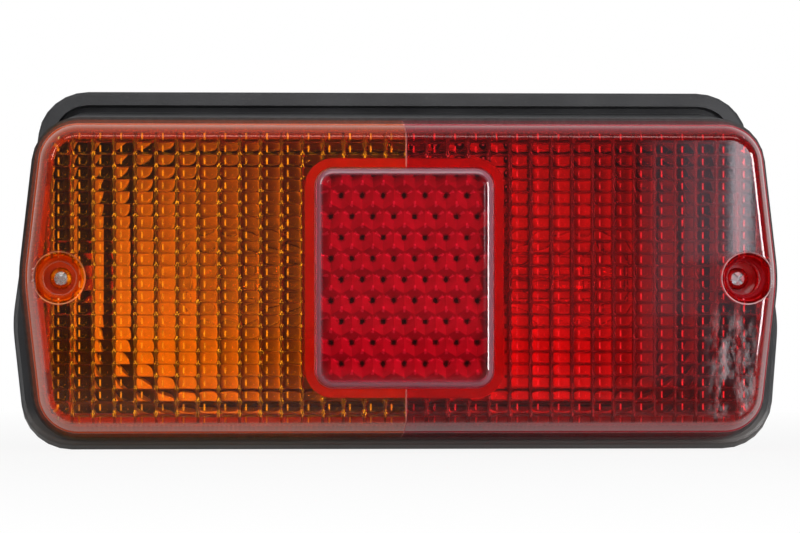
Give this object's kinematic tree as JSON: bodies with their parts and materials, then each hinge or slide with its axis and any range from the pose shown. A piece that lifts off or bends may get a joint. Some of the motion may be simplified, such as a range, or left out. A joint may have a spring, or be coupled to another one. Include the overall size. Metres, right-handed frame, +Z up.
{
  "type": "tail light cluster",
  "caption": "Wedge-based rear lamp cluster with an amber and red lens, a central reflex reflector, bulbs on a sprung chassis and studs on a leaning mounting face.",
  "frame": {"origin": "in the plane of the mounting face, at the height of the lens's middle, on the lamp's middle line", "axes": "+X to the right as seen from behind the car, +Y into the car, +Z up; the lens faces -Y and the mounting face leans by 17.5 degrees"},
  "size_m": [0.205, 0.0679, 0.0963],
  "materials": {
    "base_plastic": "matte",
    "black_rubber": "matte",
    "amber_lens": "gloss",
    "red_lens": "gloss",
    "reflex_red": "gloss",
    "bright_tray": "satin",
    "zinc_steel": "satin",
    "brass": "satin",
    "bulb_glass": "gloss",
    "tungsten": "satin",
    "fibre_board": "matte"
  },
  "bodies": {
    "root": {"base_housing": "base_plastic", "mounting_gasket": "black_rubber", "lens_seal": "black_rubber", "lens_amber": "amber_lens", "lens_red": "red_lens", "reflex_reflector": "reflex_red", "reflector_tray": "bright_tray", "light_baffle": "bright_tray", "socket_bracket": "zinc_steel", "indicator_socket": "brass", "stop_tail_socket": "brass", "indicator_bulb_cap": "brass", "stop_tail_bulb_cap": "brass", "indicator_bulb_glass": "bulb_glass", "stop_tail_bulb_glass": "bulb_glass", "indicator_filament": "tungsten", "stop_tail_filaments": "tungsten", "indicator_insulator": "fibre_board", "stop_tail_insulator": "fibre_board", "indicator_contact": "brass", "tail_contact": "brass", "stop_contact": "brass", "earth_terminal": "zinc_steel", "lens_screw_left": "zinc_steel", "lens_screw_right": "zinc_steel", "chassis_screws": "zinc_steel", "mounting_stud_left": "zinc_steel", "mounting_stud_right": "zinc_steel", "cable_grommet": "black_rubber"}
  },
  "joints": []
}
